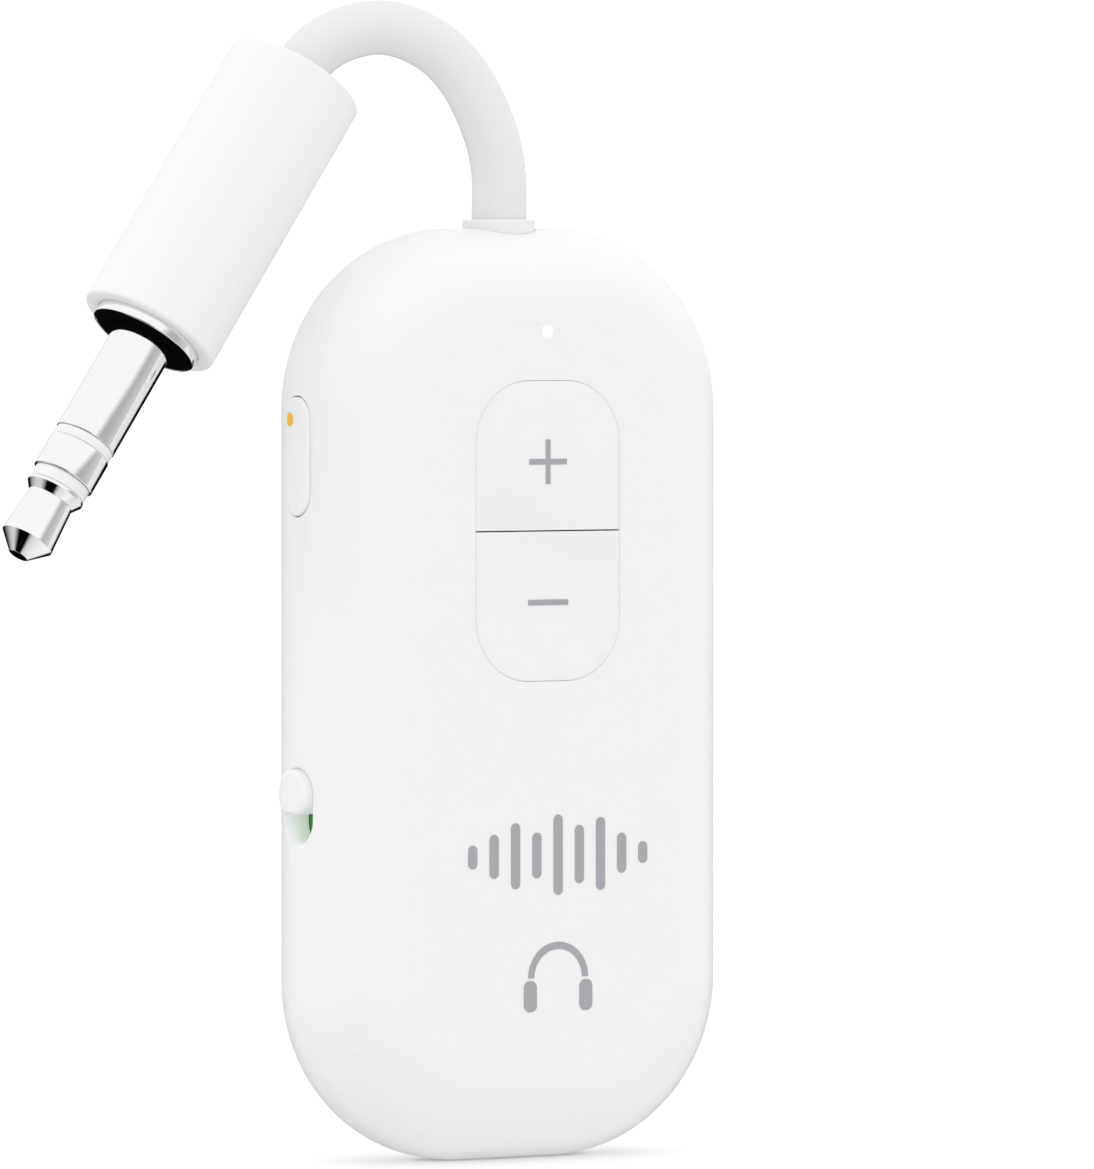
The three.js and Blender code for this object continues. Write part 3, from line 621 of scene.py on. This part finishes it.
def add_poles():
    """The three contacts and the two insulators between them, from the collar's face outwards."""
    def at(distance):
        return FACE + distance

    sleeve = plug_part("plug_sleeve", [
        (1.42, at(-3.9), 0), (SHAFT, at(-3.9), 0), (SHAFT, at(3), 0), (SHAFT, at(6.54), 0.05),
        (1.42, at(6.54), 0.02), (1.42, at(-3.9), 0),
    ])
    rear = plug_part("plug_rear_insulating_ring", [
        (1.14, at(6.3), 0), (1.4, at(6.3), 0), (1.4, at(6.56), 0), (1.7, at(6.56), 0.03),
        (1.7, at(7.1), 0.03), (1.14, at(7.1), 0), (1.14, at(6.3), 0),
    ])
    ring = plug_part("plug_ring_band", [
        (0.8, at(6.4), 0), (1.08, at(6.4), 0), (1.08, at(7.12), 0), (SHAFT, at(7.12), 0.05),
        (SHAFT, at(9.05), 0.08), (0.8, at(9.05), 0), (0.8, at(6.4), 0),
    ])
    front = plug_part("plug_front_insulating_ring", [
        (0.5, at(8.8), 0), (0.74, at(8.8), 0), (0.74, at(9.07), 0), (1.62, at(9.07), 0.03),
        (1.62, at(9.75), 0.03), (0.5, at(9.75), 0), (0.5, at(8.8), 0),
    ])
    tip = plug_part("plug_tip", [
        (0.42, at(9), 0), (0.42, at(9.77), 0), (1.65, at(9.77), 0.04), (1.65, at(9.95), 0.05),
        (1.3, at(10.43), 0.08), (1.5, at(13.03), 0.07), (0.55, at(14), 0.07), (0.3, at(14), 0),
    ], closed=False)
    finished(sleeve, CHROME, "root", "plug_chrome", "plug_sleeve_contact")
    finished(rear, POLE_WHITE, "root", "pole_white", "plug_rear_insulator")
    finished(ring, CHROME, "root", "plug_chrome", "plug_ring_contact")
    finished(front, POLE_WHITE, "root", "pole_white", "plug_front_insulator")
    finished(tip, CHROME, "root", "plug_chrome", "plug_tip_contact")
    return [sleeve, rear, ring, front, tip]


plug_pieces = add_plug() + add_poles()


# ---------------------------------------------------------------- casing

EDGE_STEPS = 28
FACE_INSET = EDGE + 0.4  # of the loops that close the flat faces
SEAM_EASE = 0.07
SEAM_STEP = 0.02  # from the outer surface to the seam's bevel, both ways


def outer_loops(start, end):
    """Loops of the casing's outer surface from depth y = start to end, both on one rounding."""
    sign = -1 if start + end < 0 else 1
    first, last = (
        math.asin(max(min((abs(y) - BAND) / EDGE, 1), 0)) for y in (start, end)
    )
    loops = []
    for i in range(EDGE_STEPS + 1):
        turn = first + (last - first) * i / EDGE_STEPS
        y = sign * (BAND + EDGE * math.sin(turn))
        inset = EDGE * (1 - math.cos(turn))
        loops.append([(x, y, z) for x, z in case_outline(inset)])
    return loops


def flat_loop(inset, y):
    return [(x, y, z) for x, z in case_outline(inset)]


def inner_inset(y):
    """The inset of the casing's inner surface at depth y."""
    past = abs(y) - BAND
    edge = EDGE - WALL
    rounding = 0 if past <= 0 else edge - math.sqrt(max(edge * edge - past * past, 0))
    inset = WALL + rounding
    return min(inset, CAVITY_INSET) if y > 0 else inset


def front_casing_body():
    seam_inset = edge_inset(SEAM - SEAM_EASE)
    face = [flat_loop(FACE_INSET, FRONT)]
    outside = outer_loops(FRONT, -BAND) + outer_loops(BAND, SEAM - SEAM_EASE)
    seam = [
        flat_loop(seam_inset + SEAM_STEP, SEAM - SEAM_STEP),
        flat_loop(seam_inset + SEAM_EASE, SEAM), flat_loop(CAVITY_INSET, SEAM),
    ]
    depths = [2.79, 2.2, 1.4, BAND, -BAND] + [
        -BAND - (EDGE - WALL) * math.sin(math.radians(angle)) for angle in range(10, 91, 10)
    ]
    inside = [flat_loop(inner_inset(y), y) for y in depths]
    inside.append(flat_loop(FACE_INSET, FRONT + WALL))
    return loft("front_casing", face + outside + seam + inside)


def slot_boss():
    """Thickens the left wall round the slot, down to the moving film under it."""
    loops = []
    for grow, depth in [(0.55, 0.7), (0.55, SLOT_FLOOR - 0.06), (0.4, SLOT_FLOOR - 0.04)]:
        loops.append(side_loop(side_outline(SLOT, grow), depth, -1))
    return loft("slot_boss", loops)


def opening_tools():
    """One cutter for every opening in the front and side walls and the top."""
    keys = loft("tool", [
        front_loop(key_outline(g), d) for g, d in rim_cut(FRONT_CUT, RIM["key"])
    ])
    lamp = loft("tool", [
        front_loop(lamp_outline(g), d) for g, d in rim_cut(FRONT_CUT, RIM["lamp"])
    ])
    button = loft("tool", [
        side_loop(side_outline(BUTTON, g), d, -1) for g, d in rim_cut(SIDE_CUT, RIM["button"])
    ])
    slot = loft("tool", [
        side_loop(side_outline(SLOT, g), d, -1) for g, d in rim_cut(SIDE_CUT, RIM["slot"])
    ])
    socket = loft("tool", [
        side_loop(socket_outline(SOCKET_MARGIN + g), d, 1)
        for g, d in rim_cut(SIDE_CUT, RIM["socket"])
    ])
    hole = turned(
        "tool", [(CORD_HOLE, grommet_low.z - 0.5), (CORD_HOLE, HEIGHT + 1)], closed=False,
    )
    return joined("openings", [keys, lamp, button, slot, socket, hole])


SLOT_WALLS = {"margin": 0.03, "start": 0.06, "end": 3}  # past its outline, and in depth


def in_slot(place):
    """Whether a place on the front casing is on the walls of the slide switch's slot."""
    margin = SLOT_WALLS["margin"]
    across = abs(place.y) < SLOT["half"] + margin
    along = SLOT["low"] - margin < place.z < SLOT["high"] + margin
    depth = side_reach(place.y, place.z) + place.x
    return across and along and SLOT_WALLS["start"] < depth < SLOT_WALLS["end"]


def add_casing():
    front = front_casing_body()
    front = combined(front, slot_boss(), "UNION")
    front = smoothed(combined(front, opening_tools(), "DIFFERENCE"))
    finished(front, WHITE_SHELL, "root", "white_shell", "front_shell")
    # The faces on the slot's walls get the glowing material, which is painted light in the recess.
    front.data.materials.append(GLOWING_SLOT_WALL)
    for face in front.data.polygons:
        if in_slot(face.center / MM):
            face.material_index = 1

    start = SEAM + SEAM_GAP
    seam_inset = edge_inset(start + SEAM_EASE)
    outer, inner = LID_RIM["inset"], LID_RIM["inset"] + LID_RIM["wall"]
    face = [flat_loop(FACE_INSET, BACK)]
    outside = outer_loops(BACK, start + SEAM_EASE)
    seam = [
        flat_loop(seam_inset + SEAM_STEP, start + SEAM_STEP),
        flat_loop(seam_inset + SEAM_EASE, start),
        flat_loop(outer, start), flat_loop(outer, LID_RIM["start"]),
        flat_loop(inner, LID_RIM["start"]), flat_loop(inner, LID_RIM["floor"]),
        flat_loop(inner + 0.4, LID_RIM["floor"]),
    ]
    back = smoothed(loft("rear_casing", face + outside + seam))
    finished(back, WHITE_SHELL, "root", "white_shell", "back_cover")


def add_grommet():
    bottom, top = grommet_low.z, grommet_high.z
    bore = CORD_RADIUS + 0.04
    ring = smoothed(turned("grommet_ring", eased([
        (bore, bottom, 0), (GROMMET_RADIUS, bottom, 0), (GROMMET_RADIUS, HEIGHT - 0.6, 0),
        (GROMMET_RADIUS, top, 0.13), (bore, top - 0.02, 0.06), (bore, bottom, 0),
    ])), 40)
    finished(ring, SOFT_WHITE, "root", "soft_white", "cord_grommet")


add_casing()
add_grommet()


# ---------------------------------------------------------------- lamp, keys and side button

def add_lamp():
    profile = cap_profile(back=1.6, radius=0.05, proud=-0.02, inward=(0.1, 0.2))
    lens = smoothed(loft("lamp_lens", [
        front_loop(lamp_outline(grow - 0.02), depth) for grow, depth in profile
    ]), 50)
    finished(lens, LAMP_WHITE, "root", "lamp_window", "front_light_pipe")


def add_keys():
    gap, split = KEY_GAP, KEY["split"]
    half = KEY["half"] - KEY_SIDE_GAP
    wide, tight = KEY["corner"] - gap, 0.06  # corners at the ends, and where the keys meet
    halves = {
        "volume_up": (split + KEY_DIVIDE, KEY["high"] - gap, [wide, wide, tight, tight]),
        "volume_down": (KEY["low"] + gap, split - KEY_DIVIDE, [tight, tight, wide, wide]),
    }
    for name, (low, high, radii) in halves.items():
        loops = [
            front_loop(rounded_outline(-half, half, low, high, radii, grow, 16), depth)
            for grow, depth in cap_profile(back=1.5, radius=0.02, inward=(0.3,))
        ]
        key = smoothed(loft(f"{name}_cap", loops))
        finished(key, WHITE_KEY, name, "white_key", f"{name}_key")


def add_side_button():
    gap, end_gap = 0.012, 0.05
    inward = (0.15, 0.4, 0.7, 1.0)
    low, high = BUTTON["low"] + end_gap, BUTTON["high"] - end_gap
    place = {"half": BUTTON["half"], "low": low, "high": high}
    cap = loft("side_button_cap", [
        side_loop(side_outline(place, grow - gap), depth, -1)
        for grow, depth in cap_profile(back=1.65, radius=0.14, proud=BUTTON["proud"], inward=inward)
    ])
    radius = (amber_high.z - amber_low.z) / 2
    y, z = (amber_low.y + amber_high.y) / 2, (amber_low.z + amber_high.z) / 2
    hole = loft("tool", [
        side_loop(disc_outline(y, z, radius, grow + 0.01), depth - BUTTON["proud"], -1)
        for grow, depth in rim_cut(through=1.9, radius=0.015)
    ])
    cap = smoothed(combined(cap, hole, "DIFFERENCE"))
    finished(cap, WHITE_KEY, "side_press", "white_key", "side_button")
    lens = smoothed(loft("amber_lens", [
        side_loop(disc_outline(y, z, radius, grow - 0.01), depth, -1)
        for grow, depth in cap_profile(
            back=1.6, radius=0.03, proud=BUTTON["proud"], inward=(0.1, 0.2),
        )
    ]), 50)
    finished(lens, AMBER, "side_press", "amber_window", "side_button_light_pipe")
    lens.visible_glossy = False


add_lamp()
add_keys()
add_side_button()


# ---------------------------------------------------------------- slide switch

def add_slide():
    top = SLOT["high"] - 0.08
    place = {"half": KNOB["half"], "low": top - KNOB["length"], "high": top}
    profile = cap_profile(
        back=SLOT_FLOOR + 0.06, radius=0.22, proud=KNOB["proud"], inward=(0.1, 0.3, 0.6, 0.85),
        steps=7,
    )
    cap = loft("slide_knob", [
        side_loop(side_outline(place, grow, KNOB["half"] - 0.01, KNOB["corner"]), depth, -1)
        for grow, depth in profile
    ])
    width = (knob_high.y - knob_low.y) / 2
    plate = {"half": width, "low": knob_low.z, "high": knob_high.z}
    skirt = loft("tool", [
        side_loop(side_outline(plate, grow, 0.4, 0.4), depth, -1)
        for grow, depth in [(0, 1.75), (0, SLOT_FLOOR + 0.05), (-0.3, SLOT_FLOOR + 0.05)]
    ])
    knob = smoothed(combined(cap, skirt, "UNION"))
    finished(knob, WHITE_KEY, "power_slide", "white_key", "slide_switch_knob")

    half = (label_high.y - label_low.y) / 2
    strip = {"half": half, "low": label_low.z, "high": place["low"] - 0.02}
    film = smoothed(loft("slide_label_film", [
        side_loop(side_outline(strip, grow, 0.1, 0.1), depth, -1)
        for grow, depth in [(0, SLOT_FLOOR + 0.04), (0, SLOT_FLOOR), (-0.3, SLOT_FLOOR)]
    ]))
    finished(film, GREEN, "power_slide", "green_label", "slide_switch_label")


add_slide()


# ---------------------------------------------------------------- charging socket

CONTACTS = 12
CONTACT_PITCH = 0.5
CONTACT_HALF = 0.13


def bar(name, x, y, z, ease):
    """A block with eased edges along X, between the limits of x, y and z."""
    loops = []
    for place, grow in [(x[0], -ease), (x[0] + ease, 0), (x[1] - ease, 0), (x[1], -ease)]:
        outline = rounded_outline(y[0], y[1], z[0], z[1], [2 * ease] * 4, grow, 4)
        loops.append([(place, v, w) for v, w in outline])
    return loft(name, loops)


def add_socket():
    mouth, deep = socket_high.x, socket_low.x
    skin = 0.28
    shell = smoothed(loft("socket_shell", [
        [(x, y, z) for y, z in socket_outline(-inset)]
        for inset, x in eased([
            (0, deep, 0), (0, mouth, 0.09), (skin, mouth, 0.09), (skin, deep, 0), (0, deep, 0),
        ])
    ], closed=True), 40)
    finished(shell, STEEL, "root", "switch_metal", "usb_receptacle_shell")

    middle = (socket_low.y + socket_high.y) / 2
    tongue_end = tongue_high.x
    base = loft("tool", [
        [(x, y, z) for y, z in socket_outline(-skin - 0.04)] for x in (deep, deep + 1.4)
    ])
    blade = bar(
        "socket_tongue", (deep + 1, tongue_end), (middle - 0.3, middle + 0.3),
        (tongue_low.z + 0.9, tongue_high.z - 0.9), 0.08,
    )
    tongue = smoothed(combined(blade, base, "UNION"), 40)
    finished(tongue, BLACK_PLASTIC, "root", "black_plastic", "usb_receptacle_insulator")

    centre = (tongue_low.z + tongue_high.z) / 2
    reach = (deep + 1.6, tongue_end - 0.35)
    pins = []
    for side in (-1, 1):
        face = sorted((middle + side * 0.29, middle + side * 0.335))
        for i in range(CONTACTS):
            z = centre + (i - (CONTACTS - 1) / 2) * CONTACT_PITCH
            pins.append(bar("pin", reach, face, (z - CONTACT_HALF, z + CONTACT_HALF), 0.01))
    contacts = smoothed(joined("socket_contacts", pins), 40)
    finished(contacts, GOLD, "root", "switch_metal")


add_socket()


# ---------------------------------------------------------------- printed marks

INK_DEPTH = (-0.014, 0.02)  # above and below the front face


def printed(name, outlines, body):
    """Thin flat prints on the front face. Each outline is a list of points in X and Z."""
    parts = [
        loft("print", [front_loop(outline, INK_DEPTH[1]), front_loop(outline, INK_DEPTH[0])])
        for outline in outlines
    ]
    finished(smoothed(joined(name, parts)), INK, body, "black_plastic")


def box_outline(x, z, width, height, radius):
    return rounded_outline(
        x - width / 2, x + width / 2, z - height / 2, z + height / 2, [radius] * 4, 0, 6,
    )


def cross_outline(x, z, arm, half):
    """A plus sign with square ends."""
    quarter = [(arm, -half), (arm, half), (half, half)]
    points = []
    for i in range(4):
        for u, v in quarter:
            for _ in range(i):
                u, v = -v, u
            points.append((x + u, z + v))
    return points


def arch_outline(x, z, outer, inner):
    """Half a ring."""
    steps = 20
    turns = [math.pi * i / steps for i in range(steps + 1)]
    over = [(x + outer * math.cos(t), z + outer * math.sin(t)) for t in turns]
    under = [(x + inner * math.cos(t), z + inner * math.sin(t)) for t in reversed(turns)]
    return over + under


MARKS_MIDDLE = 0.65  # X of the middle of the marks under the keys
LEVELS = (1.3, 2.4, 3.6, 2.5, 4.4, 3.2, 4.0, 2.2, 1.2)
LEVEL_PITCH = 1.38


def add_marks():
    plus = cross_outline(0, 38.27, arm=1.22, half=0.155)
    minus = box_outline(0, 30.6, width=2.6, height=0.31, radius=0.02)
    printed("mark_plus", [plus], "volume_up")
    printed("mark_minus", [minus], "volume_down")
    bars = []
    for i, height in enumerate(LEVELS):
        x = MARKS_MIDDLE + (i - (len(LEVELS) - 1) / 2) * LEVEL_PITCH
        bars.append(box_outline(x, 16.8, width=0.6, height=height, radius=0.29))
    printed("mark_levels", bars, "root")
    cups = [
        box_outline(MARKS_MIDDLE + side * 1.8, 9.1, width=0.85, height=1.7, radius=0.36)
        for side in (-1, 1)
    ]
    band = arch_outline(MARKS_MIDDLE, 10.1, outer=1.95, inner=1.55)
    printed("mark_headphones", [band, *cups], "root")


add_marks()


# ---------------------------------------------------------------- floor and light

def add_floor():
    """A pale floor that glows evenly and is darkened only by the occlusion under the object."""
    half = 3.0
    mesh = bpy.data.meshes.new("floor")
    corners = [(-half, -half, 0), (half, -half, 0), (half, half, 0), (-half, half, 0)]
    mesh.from_pydata(corners, [], [(0, 1, 2, 3)])
    floor = new_object("floor", mesh)
    material = bpy.data.materials.new("floor_white")
    material.use_nodes = True
    tree = material.node_tree
    shader = tree.nodes["Principled BSDF"]
    shader.inputs["Base Color"].default_value = grey(0)
    shader.inputs["Specular IOR Level"].default_value = 0
    shader.inputs["Emission Color"].default_value = grey(1)
    shaded_by = add_node(tree, "ShaderNodeAmbientOcclusion", Distance=0.02, samples=16)
    open_to_sky = shaded_by.outputs["AO"]
    wide = ranged(tree, open_to_sky, 0.7, 1.06, 0, 0.75)
    contact = ranged(tree, open_to_sky, 0.5, 1, 0, 0.12)
    tree.links.new(product(tree, wide, contact), shader.inputs["Emission Strength"])
    mesh.materials.append(material)
    floor.visible_glossy = False
    floor.visible_diffuse = False
    floor.visible_shadow = False


def arithmetic(tree, operation, *values):
    node = tree.nodes.new("ShaderNodeMath")
    node.operation = operation
    for socket, value in zip(node.inputs, values):
        if isinstance(value, (int, float)):
            socket.default_value = value
        else:
            tree.links.new(value, socket)
    return node.outputs["Value"]


def product(tree, first, *others):
    for value in others:
        first = arithmetic(tree, "MULTIPLY", first, value)
    return first


def largest(tree, first, *others):
    for value in others:
        first = arithmetic(tree, "MAXIMUM", first, value)
    return first


STUDIO_TURN = math.radians(32.5)  # the studio's panels stand square to this heading


def add_world():
    """A white surround. The camera sees it plain, diffuse rays see a soft sky, and glossy rays
    see a dark bench below with a grey panel on the right and a faint haze behind."""
    world = bpy.data.worlds.new("studio")
    bpy.context.scene.world = world
    world.use_nodes = True
    tree = world.node_tree
    background = tree.nodes["Background"]
    direction = tree.nodes.new("ShaderNodeTexCoord").outputs["Generated"]
    axes = add_node(tree, "ShaderNodeSeparateXYZ", {"Vector": direction}).outputs
    sine, cosine = math.sin(STUDIO_TURN), math.cos(STUDIO_TURN)
    behind = arithmetic(
        tree, "ADD", product(tree, axes["X"], sine), product(tree, axes["Y"], cosine),
    )
    right = arithmetic(
        tree, "SUBTRACT", product(tree, axes["X"], cosine), product(tree, axes["Y"], sine),
    )
    up = axes["Z"]

    # The dark areas of the reflections. Each range fades one in or out between two directions.
    low = ranged(tree, up, 1, 0, -0.02, 0.04)
    dark_behind = ranged(tree, behind, 0, 1, 0.58, 0.78)
    dark_left = product(
        tree, ranged(tree, behind, 0.35, 1, 0.1, 0.8), ranged(tree, right, 1, 0, -0.3, 0.1),
    )
    grey_left = ranged(tree, right, 0.35, 0, -0.3, 0.4)
    turn = arithmetic(tree, "ARCTAN2", product(tree, behind, -1), product(tree, right, -1))
    lean = product(tree, arithmetic(tree, "ADD", up, 0.33), 0.96)
    leaned = arithmetic(tree, "SUBTRACT", turn, lean)
    dark_front = product(
        tree, ranged(tree, leaned, 0, 1, math.radians(-10), math.radians(30)),
        ranged(tree, leaned, 1, 0, math.radians(72), math.radians(98)),
    )
    bench = product(tree, low, largest(tree, dark_behind, dark_left, grey_left, dark_front))
    panel = product(
        tree, ranged(tree, up, 1, 0, 0.02, 0.2), ranged(tree, behind, 0.53, 0.2, -0.4, 0.6),
        ranged(tree, right, 0, 1, 0.3, 0.6),
    )
    haze = product(
        tree, ranged(tree, behind, 0, 0.17, 0.78, 0.88), ranged(tree, up, 1, 0, 0.28, 0.38),
    )
    gloss = arithmetic(tree, "SUBTRACT", 1.0, largest(tree, bench, panel, haze))
    from_sides = largest(tree, product(tree, axes["X"], -0.14), product(tree, axes["X"], 0.15))
    from_above = arithmetic(
        tree, "ADD", ranged(tree, up, 0.77, 1.015, -1, 0), ranged(tree, up, 0, 0.13, 0, 1),
    )
    sky = arithmetic(tree, "ADD", from_above, from_sides)

    path = tree.nodes.new("ShaderNodeLightPath").outputs
    change = arithmetic(tree, "SUBTRACT", gloss, sky)
    lit = arithmetic(tree, "ADD", sky, product(tree, path["Is Glossy Ray"], change))
    seen = largest(tree, lit, product(tree, path["Is Camera Ray"], 1.2))
    tree.links.new(seen, background.inputs["Strength"])
    background.inputs["Color"].default_value = (1, 1, 1, 1)


def add_lights():
    """A weak overhead panel, which the camera and the chrome don't see."""
    light = bpy.data.lights.new("overhead", "AREA")
    light.shape = "RECTANGLE"
    light.size = 0.6
    light.size_y = 0.4
    light.energy = 0.12
    lamp = new_object("overhead", light)
    lamp.location = (-0.1, -0.1, 0.6)
    aim = Vector((0, 0, 0.03)) - lamp.location
    lamp.rotation_euler = aim.to_track_quat("-Z", "Y").to_euler()
    lamp.visible_camera = False
    lamp.visible_glossy = False


add_floor()
add_world()
add_lights()
bpy.context.scene.view_settings.view_transform = "Standard"
